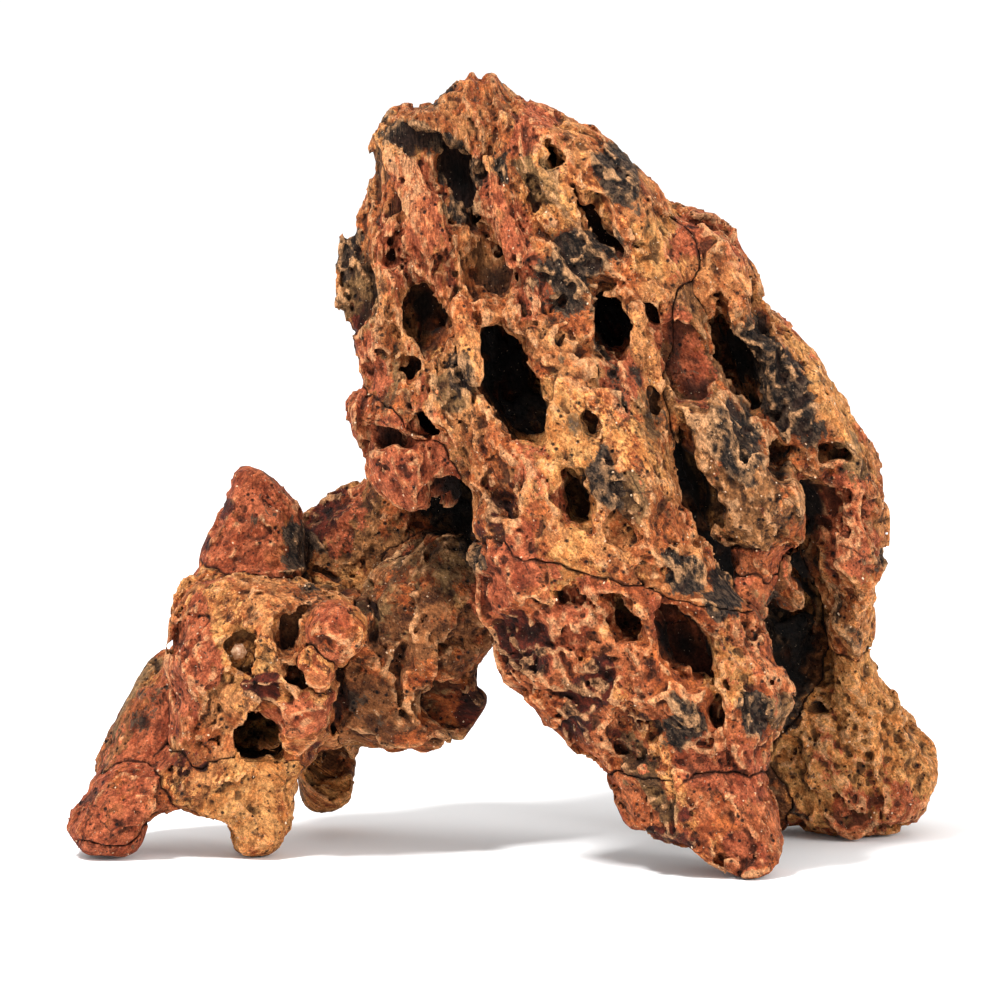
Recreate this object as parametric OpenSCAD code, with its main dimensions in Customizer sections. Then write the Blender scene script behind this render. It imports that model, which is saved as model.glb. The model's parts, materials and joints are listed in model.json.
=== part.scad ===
// Stacked-stone cave ornament for an aquarium, in cast resin.
// Separately cast stones are pinned and bonded into a leaning arch, with a cave behind the front slab.
// Frame: +X right, +Y away from the front, +Z up. The origin is on the tank floor, under the
// middle of the ornament's outline.

/* [Overall] */
// Width, from the left toe to the right boulder
overall_w = 262; // [210:1:320]
// Depth, from the front slab to the back of the boulder
overall_d = 120; // [96:1:148]
// Height, from the tank floor to the crest
overall_h = 236; // [190:1:290]

/* [Stone surface] */
// Corners round a stone's cross-section
ring_corners = 16; // [12:4:20]
// How squarely a cross-section fills its box, where 2 is an ellipse
ring_power = 3.6; // [2:0.1:5]
// Most that a corner is chipped back, as a share of the half width
chipping = 0.22; // [0:0.01:0.3]
// Most that a corner stands above or below its level
jagged = 3; // [0:0.5:4]

/* [Bonded joints] */
// Adhesive line left between neighbouring stones
bond_gap = 0.4; // [0.3:0.1:0.8]
// Diameter of a joint pin
pin_d = 4; // [3:0.5:6]
// Length of a joint pin
pin_l = 18; // [12:1:24]
// Radial room for adhesive round a pin
pin_glue = 0.2; // [0.1:0.05:0.4]

/* [Windows] */
// Width of the large window through the front slab
window_w = 14; // [9:0.5:16]
// Height of the large window through the front slab
window_h = 38; // [28:1:42]
// Width of the small window through the front slab
port_w = 9; // [6:0.5:11]
// Height of the small window through the front slab
port_h = 20; // [14:1:22]
// Width of the small cave in the left body
den_w = 16; // [10:0.5:18]
// Height of the small cave in the left body
den_h = 15; // [10:0.5:18]

/* [Hidden] */

// The envelope that the cross-sections below were drawn in. They stretch with the overall sizes.
drawn_w = 262;
drawn_d = 120;
drawn_h = 236;
pit_sides = 9;
socket_sides = 24;
crystal_sides = 6;
block = 400; // side of the cube that trims a seam, more than any stone

function across(x) = x * overall_w / drawn_w;
function along(y) = y * overall_d / drawn_d;
function up(z) = z * overall_h / drawn_h;

// Each stone is a stack of level cross-sections: [height, left, right, front, back].
front_slab_cuts = [
    [78, -6, 76, -60, -24], [86, -8, 70, -60, -22], [94, -11, 64, -60, -20], [103, -10, 58, -60, -17],
    [112, -9, 54, -59, -14], [121, -13, 51, -57, -11], [130, -20, 50, -54, -8], [139, -38, 50, -50, -5],
    [148, -43, 50, -47, -2], [158, -46, 52, -44, 2], [168, -50, 55, -42, 5], [178, -50, 58, -40, 8],
    [187, -49, 57, -38, 10], [195, -45, 50, -36, 12], [203, -40, 43, -34, 12], [211, -40, 38, -32, 12],
    [218, -42, 31, -30, 11], [224, -33, 16, -27, 9], [229, -24, 5, -24, 6], [236, -12, -1, -17, 0]
];
lower_apron_cuts = [
    [30.4, 31, 80, -57, -24], [37, 23, 80, -58, -22], [44, 16, 84, -59, -22], [50, 10, 88, -60, -22],
    [57, 4, 87, -60, -22], [65, -1, 82, -60, -22], [73, -3, 79, -60, -22], [81, -6, 76, -60, -23],
    [89, -8, 72, -60, -23], [97, -11, 66, -59, -21], [105, -10, 60, -58, -19]
];
slab_foot_cuts = [
    [0, 68, 82, -56, -34], [5, 60, 84, -58, -30], [10, 49, 84, -59, -26], [14, 36, 84, -59, -25],
    [20, 34, 83, -58, -24], [25, 33, 81, -58, -24], [30, 31, 80, -57, -24]
];
middle_panel_cuts = [
    [96, 68, 92, -38, -6], [104, 59, 92, -40, -4], [112, 57, 91, -42, -2], [120, 55, 87, -42, 0],
    [128, 51, 80, -41, 2], [136, 49, 75, -40, 3], [144, 48, 67, -38, 4], [152, 48, 64, -36, 4],
    [160, 47, 62, -34, 4], [168, 48, 59, -30, 4], [174, 50, 57, -26, 2]
];
right_rib_cuts = [
    [57, 101, 111, 4, 38], [63, 100, 112, 0, 38], [70, 99, 113, -4, 39], [78, 97, 114, -6, 40],
    [86, 92, 118, -8, 41], [95, 90, 118, -9, 41], [104, 88, 116, -10, 41], [112, 85, 113, -12, 41],
    [119, 82, 110, -13, 40], [126, 79, 106, -14, 39], [133, 76, 103, -15, 38], [140, 74, 100, -16, 37],
    [147, 71, 95, -17, 36], [153, 69, 89, -18, 35], [160, 65, 82, -18, 34], [166, 60, 78, -19, 34],
    [173, 50, 77, -19, 33], [181, 44, 74, -18, 32], [188, 36, 71, -16, 30], [193, 30, 60, -13, 27],
    [198, 32, 48, -10, 22]
];
right_boulder_cuts = [
    [0, 94, 122, 26, 56], [4, 87, 125, 14, 59], [10, 82, 128, 10, 60], [16, 80, 131, 8, 60],
    [24, 79, 131, 8, 60], [30, 80, 128, 9, 59], [36, 86, 125, 10, 57], [42, 92, 121, 11, 54],
    [48, 97, 115, 10, 48], [54, 99, 112, 8, 44], [58, 101, 109, 10, 40]
];
left_spur_cuts = [
    [108, -30, -14, -38, 10], [113, -36, -12, -42, 14], [118, -40, -10, -44, 14], [125, -40, -12, -45, 14],
    [132, -44, -14, -45, 12], [139, -45, -20, -43, 8], [144, -40, -26, -38, 2]
];
rear_shell_cuts = [
    [0, 56, 88, 20, 50], [12, 52, 92, 16, 55], [28, 48, 92, 14, 57], [44, 40, 98, 14, 58],
    [60, 24, 100, 14, 58], [74, 8, 102, 15, 58], [88, -6, 106, 16, 58], [100, -16, 107, 16, 57],
    [112, -28, 104, 14, 56], [124, -34, 98, 12, 54], [138, -38, 90, 8, 52], [152, -40, 82, 6, 50],
    [168, -42, 70, 6, 47], [184, -40, 62, 6, 44], [198, -34, 42, 6, 40], [210, -30, 28, 4, 34],
    [218, -20, 12, 4, 26]
];
bridge_column_cuts = [
    [29, -44, -15, -14, 16], [33, -52, -12, -18, 20], [39, -56, -9, -20, 22], [46, -56, -5, -22, 23],
    [54, -56, -4, -22, 24], [62, -54, 0, -22, 24], [70, -50, 2, -21, 23], [78, -44, 2, -20, 22],
    [85, -36, 0, -19, 20], [91, -28, -3, -17, 16], [97, -24, -10, -13, 8]
];
rear_saddle_cuts = [
    [68, -64, -20, 14, 40], [76, -66, -14, 12, 44], [84, -66, -10, 10, 46], [92, -64, -8, 10, 46],
    [98, -60, -8, 10, 44], [103, -52, -8, 11, 42], [108, -42, -10, 12, 38], [112, -37, -14, 14, 34]
];
left_body_cuts = [
    [28, -100, -50, -22, 14], [34, -99, -48, -28, 17], [42, -98, -46, -32, 18], [50, -98, -45, -34, 20],
    [58, -100, -44, -34, 20], [66, -100, -41, -33, 20], [73, -100, -40, -31, 19], [79, -98, -44, -27, 17],
    [84, -95, -58, -20, 12]
];
red_fin_cuts = [
    [74, -92, -60, -4, 24], [82, -91, -59, -4, 26], [89, -90, -58, -3, 26], [95, -87, -59, -1, 25],
    [101, -85, -60, 1, 23], [107, -82, -63, 3, 20], [112, -80, -69, 5, 17], [115, -78, -72, 7, 14]
];
front_leg_cuts = [
    [0, -80, -69, -15, -2], [5, -81, -65, -20, 2], [11, -82, -62, -22, 4], [15, -98, -61, -24, 6],
    [21, -106, -60, -25, 8], [28, -104, -56, -26, 8], [34, -98, -56, -26, 6]
];
left_flank_cuts = [
    [16, -120, -96, -10, 20], [22, -122, -94, -10, 24], [30, -119, -92, -10, 26], [38, -115, -90, -8, 27],
    [46, -111, -88, -6, 27], [53, -106, -87, -4, 25], [60, -99, -86, -2, 20]
];
left_toe_cuts = [
    [6, -129, -108, -24, 2], [9, -131, -104, -26, 6], [13, -129, -98, -27, 8], [18, -126, -95, -26, 9],
    [23, -122, -95, -23, 9], [28, -117, -98, -18, 8]
];
toe_pad_cuts = [[0, -125, -111, -20, -4], [3, -128, -107, -23, 0], [7, -129, -106, -24, 2]];
rear_scoop_cuts = [
    [6, -60, -50, 28, 48], [12, -62, -44, 24, 50], [20, -62, -42, 20, 50], [28, -62, -42, 16, 48],
    [36, -62, -44, 12, 44], [44, -60, -46, 10, 36]
];
round_pebble_cuts = [
    [63, -52, -46, -38, -28], [67, -56, -42, -40, -26], [72, -57, -41, -41, -25], [76, -55, -43, -39, -26],
    [79, -51, -46, -36, -28]
];
small_pebble_cuts = [[54, -57, -51, -38, -30], [58, -59, -49, -40, -28], [63, -59, -50, -40, -28], [67, -56, -52, -38, -30]];
chip_upper_cuts = [[85, 71, 82, -34, -12], [91, 69, 84, -36, -10], [98, 70, 83, -34, -10]];
chip_middle_cuts = [[75, 72, 80, -34, -12], [81, 69, 82, -36, -12], [88, 70, 81, -34, -12]];
chip_lower_cuts = [[75, 85, 93, -20, 4], [81, 83, 95, -22, 6], [90, 84, 94, -20, 6]];

// Setting order. Each stone is ground to fit every stone before it. A seam is a sloping end:
// [x, z, turn], where turn is the angle of the kept side from straight up, or none.
slab_end = [30, 91, 14];
apron_end = [slab_end[0], slab_end[1] - bond_gap, slab_end[2] + 180];
STONES = [
    ["front_slab", front_slab_cuts, [slab_end]], ["lower_apron", lower_apron_cuts, [apron_end]],
    ["slab_foot", slab_foot_cuts, []], ["middle_panel", middle_panel_cuts, []],
    ["right_rib", right_rib_cuts, []], ["right_boulder", right_boulder_cuts, []],
    ["left_spur", left_spur_cuts, []], ["rear_shell", rear_shell_cuts, []],
    ["bridge_column", bridge_column_cuts, []], ["rear_saddle", rear_saddle_cuts, []],
    ["left_body", left_body_cuts, []], ["red_fin", red_fin_cuts, []], ["front_leg", front_leg_cuts, []],
    ["left_flank", left_flank_cuts, []], ["left_toe", left_toe_cuts, []], ["toe_pad", toe_pad_cuts, []],
    ["rear_scoop", rear_scoop_cuts, []], ["round_pebble", round_pebble_cuts, []],
    ["small_pebble", small_pebble_cuts, []], ["chip_upper", chip_upper_cuts, []],
    ["chip_middle", chip_middle_cuts, []], ["chip_lower", chip_lower_cuts, []]
];
function place_of(name) = search([name], STONES)[0];

// Hollows in the front faces: [x, z, width, height, lean to the right, front, back].
slab_pits = [
    [-21, 208, 30, 26, 0, -60, -24], [16, 214, 6, 7, 0, -60, -14], [29, 193, 5, 20, -32, -60, -20],
    [-2, 180, 13, 20, -15, -60, -30], [-42, 172, 11, 24, -8, -60, -25], [-24, 164, 13, 22, -20, -60, -22],
    [-27, 151, 6, 8, 0, -60, -30], [46, 166, 5, 9, -20, -60, -20], [24, 114, 9, 19, -18, -60, -36],
    [27, 135, 6, 5, 0, -60, -42]
];
apron_pits = [
    [22, 87, 12, 9, -30, -62, -46], [37, 78, 10, 14, -25, -62, -42], [55, 70, 12, 26, -24, -62, -38],
    [65, 51, 4, 10, -15, -62, -46]
];
panel_pits = [[56, 151, 14, 22, -20, -45, -24]];
rib_pits = [[84, 121, 9, 8, -20, -20, 8], [98, 121, 8, 7, 0, -22, 2], [97, 105, 12, 13, -15, -20, 0]];
boulder_pits = [[86, 26, 12, 14, 0, 0, 22]];
spur_pits = [[-34, 131, 13, 7, 10, -50, -28], [-22, 133, 8, 8, 0, -50, -24]];
column_pits = [[-16, 46, 17, 16, 0, -30, -8]];
body_pits = [[-63.5, 36, 5, 10, 0, -40, 0], [-77, 63, 11, 16, -20, -40, -22], [-63, 70, 10, 12, 0, -40, -22]];
scoop_pits = [[-51, 22, 13, 16, 0, 8, 36]];

// Joint pins: [x, y, z, axis the pin runs along], at the seam that the pin crosses.
PINS = [
    [6, -40, 97, "z"], [52, -32, 85.5, "z"], [46, -41, 30.2, "z"], [70, -41, 30.2, "z"],
    [50, -15, 160, "x"], [-29, -20, 136, "z"], [-14, 8, 190, "y"], [20, 8, 186, "y"],
    [88, 37, 112, "y"], [106, 24, 57, "z"], [-56, 2, 52, "x"], [-76, 4, 84, "z"],
    [-92, -5, 28, "z"], [-97, 6, 42, "x"], [-34, 22, 76, "y"], [-18, 28, 103, "x"]
];

// A repeatable number from 0 to 1 for corner i of a cross-section. Sections either side of a seam match.
function chip_of(i, s) = let (n = sin(i * 127.1 + floor(s[0]) * 31.7 + s[1] * 7.3) * 437.5) n - floor(n);

// Corner i of a cross-section, grown outwards by grow and set at height z. The four outermost corners
// stay on the section's box, so that the overall sizes are true.
function corner(s, i, z, grow) =
    let (
        angle = 360 * i / ring_corners,
        outermost = i % (ring_corners / 4) == 0,
        reach = outermost ? 1 : 1 - chipping * chip_of(i, s),
        half_x = across(s[2] - s[1]) / 2 + grow,
        half_y = along(s[4] - s[3]) / 2 + grow
    )
    [
        across(s[1] + s[2]) / 2 + half_x * reach * sign(cos(angle)) * pow(abs(cos(angle)), 2 / ring_power),
        along(s[3] + s[4]) / 2 + half_y * reach * sign(sin(angle)) * pow(abs(sin(angle)), 2 / ring_power),
        z
    ];

// The corners of cross-section k of a stone. The end sections are level, and they also grow up and down.
function ring(cuts, k, grow) =
    let (
        first = k == 0,
        last = k == len(cuts) - 1,
        rough = first || last ? 0 : jagged,
        z = up(cuts[k][0]) + (last ? grow : 0) - (first ? grow : 0)
    )
    [for (i = [0:ring_corners - 1]) corner(cuts[k], i, z + rough * (chip_of(i + 5, cuts[k]) - 0.5), grow)];

// A rough stone: one convex block between each two neighbouring cross-sections.
module stack(cuts, grow) {
    for (k = [0:len(cuts) - 2])
        hull()
            polyhedron(
                points = concat(ring(cuts, k, grow), ring(cuts, k + 1, grow)),
                faces = [
                    [for (i = [0:ring_corners - 1]) i],
                    [for (i = [ring_corners - 1:-1:0]) ring_corners + i]
                ]
            );
}

// A stone with its sloping ends cut, before it is fitted to its neighbours.
module stone(row, grow = 0) {
    difference() {
        stack(row[1], grow);
        for (seam = row[2])
            translate([across(seam[0]), 0, up(seam[1])])
                rotate([0, seam[2], 0])
                    translate([-block / 2, -block / 2, -block - grow])
                        cube(block);
    }
}

// A pin, or with room the socket that it is glued into.
module pin(at, room = 0) {
    turn = at[3] == "x" ? [0, 90, 0] : at[3] == "y" ? [90, 0, 0] : [0, 0, 0];
    translate([across(at[0]), along(at[1]), up(at[2])])
        rotate(turn)
            cylinder(h = pin_l + 2 * room, r = pin_d / 2 + room, center = true, $fn = socket_sides);
}

// A hollow that narrows from its mouth at the front to its end at the back.
module pit(p, narrowing = 0.6) {
    translate([across(p[0]), along(p[6]), up(p[1])])
        rotate([90, p[4], 0])
            linear_extrude(height = along(p[6] - p[5]), scale = 1 / narrowing)
                scale([p[2] * narrowing, p[3] * narrowing])
                    circle(d = 1, $fn = pit_sides);
}

// A stone after its neighbours have been ground out of it, its hollows cut and its sockets drilled.
module fitted(name, pits = []) {
    mine = place_of(name);
    difference() {
        stone(STONES[mine]);
        for (k = [0:1:mine - 1])
            stone(STONES[k], bond_gap);
        for (p = pits)
            pit(p);
        for (at = PINS)
            pin(at, pin_glue);
        children();
    }
}

// An opening of one size from its front to its back.
module window(x, z, w, h, lean, front, back) {
    pit([x, z, w, h, lean, front, back], 1);
}

module front_slab() {
    color("peru") fitted("front_slab", slab_pits) {
        window(4, 146, window_w, window_h, -22, -62, 20);
        window(33, 163, port_w, port_h, -12, -62, 20);
    }
}
module lower_apron() { color("indianred") fitted("lower_apron", apron_pits); }
module slab_foot() { color("rosybrown") fitted("slab_foot"); }
module middle_panel() { color("dimgray") fitted("middle_panel", panel_pits); }
module right_rib() { color("sandybrown") fitted("right_rib", rib_pits); }
module right_boulder() { color("tan") fitted("right_boulder", boulder_pits); }
module left_spur() { color("indianred") fitted("left_spur", spur_pits); }
module rear_shell() { color("saddlebrown") fitted("rear_shell"); }
module bridge_column() { color("sienna") fitted("bridge_column", column_pits); }
module rear_saddle() { color("dimgray") fitted("rear_saddle"); }
module den() { window(-74, 37, den_w, den_h, 0, -40, 9); }
module left_body() { color("sandybrown") fitted("left_body", body_pits) den(); }
module red_fin() { color("indianred") fitted("red_fin"); }
module front_leg() { color("peru") fitted("front_leg") den(); }
module left_flank() { color("saddlebrown") fitted("left_flank"); }
module left_toe() { color("rosybrown") fitted("left_toe"); }
module toe_pad() { color("rosybrown") fitted("toe_pad"); }
module rear_scoop() { color("saddlebrown") fitted("rear_scoop", scoop_pits); }
module round_pebble() { color("coral") fitted("round_pebble"); }
module small_pebble() { color("rosybrown") fitted("small_pebble"); }
module chip_upper() { color("salmon") fitted("chip_upper"); }
module chip_middle() { color("indianred") fitted("chip_middle"); }
module chip_lower() { color("brown") fitted("chip_lower"); }
module pit_crystal() {
    color("wheat")
        translate([across(-78), along(-24.6), up(64)])
            rotate([90, 0, 0]) {
                cylinder(h = 3, d = 5, $fn = crystal_sides);
                translate([0, 0, 3])
                    cylinder(h = 2, d1 = 5, d2 = 1, $fn = crystal_sides);
            }
}
module joint_pins() { color("silver") for (at = PINS) pin(at); }

front_slab();
lower_apron();
slab_foot();
middle_panel();
right_rib();
right_boulder();
left_spur();
rear_shell();
bridge_column();
rear_saddle();
left_body();
red_fin();
front_leg();
left_flank();
left_toe();
toe_pad();
rear_scoop();
round_pebble();
small_pebble();
chip_upper();
chip_middle();
chip_lower();
pit_crystal();
joint_pins();
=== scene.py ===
"""The cave ornament's looks: each packed stone is recast with a rough, pitted, layered surface."""

import json
import math

import bpy
import numpy as np
import openvdb
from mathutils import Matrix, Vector


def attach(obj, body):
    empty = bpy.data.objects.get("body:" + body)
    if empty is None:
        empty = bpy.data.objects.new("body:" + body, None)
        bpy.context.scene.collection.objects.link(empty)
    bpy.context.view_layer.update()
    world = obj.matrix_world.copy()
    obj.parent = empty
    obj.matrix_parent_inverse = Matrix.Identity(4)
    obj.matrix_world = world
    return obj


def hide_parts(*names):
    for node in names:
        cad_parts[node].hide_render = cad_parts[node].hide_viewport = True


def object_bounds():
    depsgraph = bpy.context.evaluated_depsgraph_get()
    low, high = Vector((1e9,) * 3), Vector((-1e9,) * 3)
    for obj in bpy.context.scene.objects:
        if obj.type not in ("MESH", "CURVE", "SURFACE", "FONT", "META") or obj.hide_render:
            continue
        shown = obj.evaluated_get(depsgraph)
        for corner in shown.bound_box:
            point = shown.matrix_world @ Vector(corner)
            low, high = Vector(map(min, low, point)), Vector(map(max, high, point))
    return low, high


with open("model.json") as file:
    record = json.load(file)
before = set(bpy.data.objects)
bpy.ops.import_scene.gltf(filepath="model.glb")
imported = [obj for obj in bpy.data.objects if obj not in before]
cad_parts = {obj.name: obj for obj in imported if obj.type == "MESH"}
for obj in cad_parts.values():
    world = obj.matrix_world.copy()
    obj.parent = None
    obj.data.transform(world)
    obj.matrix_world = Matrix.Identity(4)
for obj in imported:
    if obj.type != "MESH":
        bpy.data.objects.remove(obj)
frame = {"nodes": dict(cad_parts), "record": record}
cad_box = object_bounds()

MM = 0.001
CELL = 1.0  # mm between samples of the casting grid
MARGIN = 8.0  # mm of room round the ornament
REACH = 9.0  # mm on each side of a surface where distances are kept
MOST_TRIANGLES = 190000  # in one stone
BRIDGED = 1.6  # mm, half the widest gap between stones that the whole body closes
ROUNDING = 2.0  # mm, how far the body's corners are rounded before they are broken again
PIN_COVER = 1.3  # mm of rock kept over the pins, which are hidden in the joints
FINS = ((1.2, 0.65), (2.2, 1.0))  # mm: fins this thin wear back by this much, because they can't be cast
SEAM = 0.03  # mm, the least width of a stone's side of a seam
SEAM_WAVE = 2.4  # mm, how far a seam wanders
KEPT = ("joint_pins", "pit_crystal")  # nodes that are shown as packed


# ---------------------------------------------------------------- noise

LATTICE = 64
lattice = np.random.default_rng(11).random((4, LATTICE, LATTICE, LATTICE), dtype=np.float32)


def smooth_noise(p, layer=0):
    """Value noise from 0 to 1 at points p, one lattice cell per unit."""
    base = np.floor(p)
    t = (p - base).astype(np.float32)
    t = t * t * (3 - 2 * t)
    i = base.astype(np.int32) & (LATTICE - 1)
    j = (i + 1) & (LATTICE - 1)
    table = lattice[layer].ravel()
    x0, x1 = i[:, 0] * LATTICE * LATTICE, j[:, 0] * LATTICE * LATTICE
    y0, y1 = i[:, 1] * LATTICE, j[:, 1] * LATTICE
    z0, z1 = i[:, 2], j[:, 2]

    def along_x(y, z):
        low = table[x0 + y + z]
        return low + (table[x1 + y + z] - low) * t[:, 0]

    low = along_x(y0, z0)
    low += (along_x(y1, z0) - low) * t[:, 1]
    high = along_x(y0, z1)
    high += (along_x(y1, z1) - high) * t[:, 1]
    return low + (high - low) * t[:, 2]


def layered_noise(p, octaves, layer=0, gain=0.5):
    """Several octaves of smooth_noise, from about -1 to 1."""
    total = np.zeros(len(p), np.float32)
    size, weight = 1.0, 0.0
    for k in range(octaves):
        total += size * (smooth_noise(p * 2.03**k + 17.3 * k, (layer + k) % 4) * 2 - 1)
        weight += size
        size *= gain
    return total / weight * 1.6


def nearest_seed(p, jitter=0.9):
    """For seeds scattered one to a cell: the distance to the nearest, its number, and how far p lies from it along
    a direction of its own."""
    base = np.floor(p).astype(np.int32)
    first = np.full(len(p), 9.0, np.float32)
    label = np.zeros(len(p), np.float32)
    tilt = np.zeros(len(p), np.float32)
    for dx in (-1, 0, 1):
        for dy in (-1, 0, 1):
            for dz in (-1, 0, 1):
                cell = base + np.array((dx, dy, dz), np.int32)
                w = cell & (LATTICE - 1)
                at = (w[:, 0] * LATTICE + w[:, 1]) * LATTICE + w[:, 2]
                gap = np.zeros(len(p), np.float32)
                slope = np.zeros(len(p), np.float32)
                for axis in range(3):
                    seed = cell[:, axis] + 0.5 + jitter * (lattice[axis].ravel()[at] - 0.5)
                    away = (p[:, axis] - seed).astype(np.float32)
                    gap += away**2
                    slope += away * (lattice[(axis + 1) % 4].ravel()[at ^ 5] * 2 - 1)
                closer = gap < first
                first = np.where(closer, gap, first)
                label = np.where(closer, lattice[3].ravel()[at], label)
                tilt = np.where(closer, slope, tilt)
    return np.sqrt(first), label, tilt


# ---------------------------------------------------------------- the casting grid

low_corner = np.array(cad_box[0]) / MM - MARGIN
high_corner = np.array(cad_box[1]) / MM + MARGIN
low_corner = np.floor(low_corner / CELL) * CELL
counts = np.ceil((high_corner - low_corner) / CELL).astype(int) + 1


def triangles_of(node):
    """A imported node's points in mm and its triangles."""
    mesh = node.data
    mesh.calc_loop_triangles()
    points = np.empty(len(mesh.vertices) * 3, np.float32)
    mesh.vertices.foreach_get("co", points)
    corners = np.empty(len(mesh.loop_triangles) * 3, np.int32)
    mesh.loop_triangles.foreach_get("vertices", corners)
    return points.reshape(-1, 3) / MM, corners.reshape(-1, 3).astype(np.uint32)


def cells(length):
    """A length in mm as a number of grid cells."""
    return int(round(length / CELL))


def blurred(a, radius, passes=2, axes=(0, 1, 2)):
    """Box blur along the axes given, with a radius in cells."""
    for _ in range(passes):
        for axis in axes:
            pad = [(0, 0)] * 3
            pad[axis] = (radius + 1, radius)
            total = np.cumsum(np.pad(a, pad, mode="edge"), axis=axis, dtype=np.float64)
            n = a.shape[axis]
            upper = np.take(total, range(2 * radius + 1, 2 * radius + 1 + n), axis=axis)
            lower = np.take(total, range(0, n), axis=axis)
            a = ((upper - lower) / (2 * radius + 1)).astype(np.float32)
    return a


def largest_piece(points, quads, tris):
    """Keeps the largest connected shell of a mesh."""
    label = np.arange(len(points))
    while True:
        before = label.copy()
        for faces in (quads, tris):
            low = label[faces].min(1) if len(faces) else np.zeros(0, int)
            for k in range(faces.shape[1]):
                np.minimum.at(label, faces[:, k], low)
        while (label[label] != label).any():
            label = label[label]
        if (label == before).all():
            break
    keep = label == np.bincount(label).argmax()
    new = np.cumsum(keep) - 1
    return points[keep], new[quads[keep[quads[:, 0]]]], new[tris[keep[tris[:, 0]]]]


def distance_block(node):
    """(first grid index, signed distance in mm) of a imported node, over its own part of the grid."""
    points, corners = triangles_of(node)
    first = np.maximum(np.floor((points.min(0) - REACH - low_corner) / CELL).astype(int), 0)
    last = np.minimum(np.ceil((points.max(0) + REACH - low_corner) / CELL).astype(int) + 1, counts)
    in_cells = ((points - low_corner) / CELL).astype(np.float32)
    grid = openvdb.FloatGrid.createLevelSetFromPolygons(
        in_cells, corners, None, openvdb.createLinearTransform(1.0), REACH / CELL
    )
    block = np.empty(tuple(last - first), np.float32)
    grid.copyToArray(block, tuple(int(v) for v in first))
    return first, block * CELL


stones = [n for n in frame["nodes"] if n not in KEPT]
blocks = {n: distance_block(frame["nodes"][n]) for n in stones}


def part_of(block):
    first, values = block
    return tuple(slice(int(a), int(a) + n) for a, n in zip(first, values.shape))


nearest = np.full(tuple(counts), REACH, np.float32)
runner_up = np.full(tuple(counts), REACH, np.float32)
owner = np.zeros(tuple(counts), np.int8)
second_owner = np.zeros(tuple(counts), np.int8)
for k, block in enumerate(blocks.values()):
    where, mine = part_of(block), block[1]
    wins = mine < nearest[where]
    places = ~wins & (mine < runner_up[where])
    second_owner[where] = np.where(wins, owner[where], np.where(places, k, second_owner[where]))
    runner_up[where] = np.where(wins, nearest[where], np.where(places, mine, runner_up[where]))
    owner[where] = np.where(wins, k, owner[where])
    nearest[where] = np.where(wins, mine, nearest[where])


def closed_body(distance, bridge):
    """Distance to the whole ornament, with every gap narrower than twice bridge filled, and its corners rounded."""
    grid = openvdb.FloatGrid(REACH)
    grid.copyFromArray(distance - bridge)
    points, tris, quads = grid.convertToPolygons(0.0, 0.0)
    points, quads, tris = largest_piece(points, quads.astype(int), tris.astype(int))
    grid = openvdb.FloatGrid.createLevelSetFromPolygons(
        points.astype(np.float32), tris.astype(np.uint32), quads.astype(np.uint32),
        openvdb.createLinearTransform(1.0), REACH / CELL,
    )
    again = np.empty(distance.shape, np.float32)
    grid.copyToArray(again)
    return blurred(again * CELL + bridge, cells(ROUNDING))


body = closed_body(nearest, BRIDGED)


# ---------------------------------------------------------------- the rough surface

# Hollows in the front: [x, z, width, height, lean to the right at the top in degrees, depth, furthest back y], in mm.
HOLLOWS = [
    (-25, 234, 24, 16, 0, 40, 60),
    (-24, 217, 24, 8, 14, 8, -20), (-12, 206, 12, 28, -12, 14, -16), (-7, 193, 6, 14, -25, 14, -16),
    (-33, 200, 7, 14, -15, 8, -20), (16, 214, 6, 8, 0, 11, -12),
    (29, 193, 6, 23, -32, 14, -18), (-2, 180, 15, 20, -15, 9, -26), (-42, 173, 13, 26, -8, 5, -22),
    (-22, 168, 12, 20, -22, 13, -20), (-27, 151, 8, 10, 0, 10, -28), (4, 146, 16, 40, -22, 24, 8),
    (33, 163, 11, 22, -12, 24, 8), (46, 166, 5, 12, -20, 12, -18), (22, 114, 7, 18, -15, 13, -36),
    (27, 135, 7, 6, 0, 5, -40), (37, 78, 9, 15, -35, 12, -40),
    (55, 70, 13, 27, -24, 15, -37), (65, 51, 5, 12, -15, 9, -44), (56, 151, 16, 25, -20, 12, -22),
    (84, 121, 9, 9, -20, 10, 10), (98, 121, 9, 8, 0, 6, 4), (97, 105, 12, 14, -15, 5, 2),
    (86, 26, 8, 11, 0, 4, 20), (-34, 131, 14, 7, 10, 12, -26), (-22, 134, 9, 8, 0, 10, -22),
    (-16, 46, 18, 17, 0, 8, -6), (-71, 39, 10, 17, -18, 24, 9),
    (-60, 57, 5, 9, -12, 8, -20), (-77, 64, 9, 14, -20, 4, -23), (-62, 71, 9, 11, 12, 5, -20),
    (-93, 68, 6, 15, 15, 3, 0), (-52, 23, 14, 18, 10, 3, 34), (-69, 52, 12, 6, 32, 4, -20),
    (-48, 47, 4, 26, 6, 4, 4), (-29, 57, 4, 24, 0, 4, 4),
    (-38, 72, 4, 22, -14, 4, 4), (-20, 104, 4, 20, 8, 4, 10), (-86, 48, 5, 20, 24, 3, -8),
    (104, 25, 30, 2.4, 2, 3, 6),
    (71, 150, 9, 38, -25, 16, 4), (56, 118, 7, 34, -12, 16, -14), (-15, 112, 14, 13, 25, 10, -24),
    (-9, 101, 9, 10, -30, 9, -30), (-32, 184, 8, 11, -10, 5, -24), (9, 199, 7, 12, -25, 4, -24),
    (62, 112, 7, 22, -20, 9, -20), (46, 140, 5, 12, -15, 6, -30), (16, 170, 8, 6, -40, 4, -30),
    (36, 104, 8, 12, -35, 5, -40), (46, 92, 10, 8, -30, 4, -44), (78, 160, 6, 14, -30, 6, 0),
    (92, 88, 9, 30, -5, 9, 6), (30, 60, 10, 8, -40, 4, -46), (46, 44, 9, 14, -30, 4, -46),
]


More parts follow.
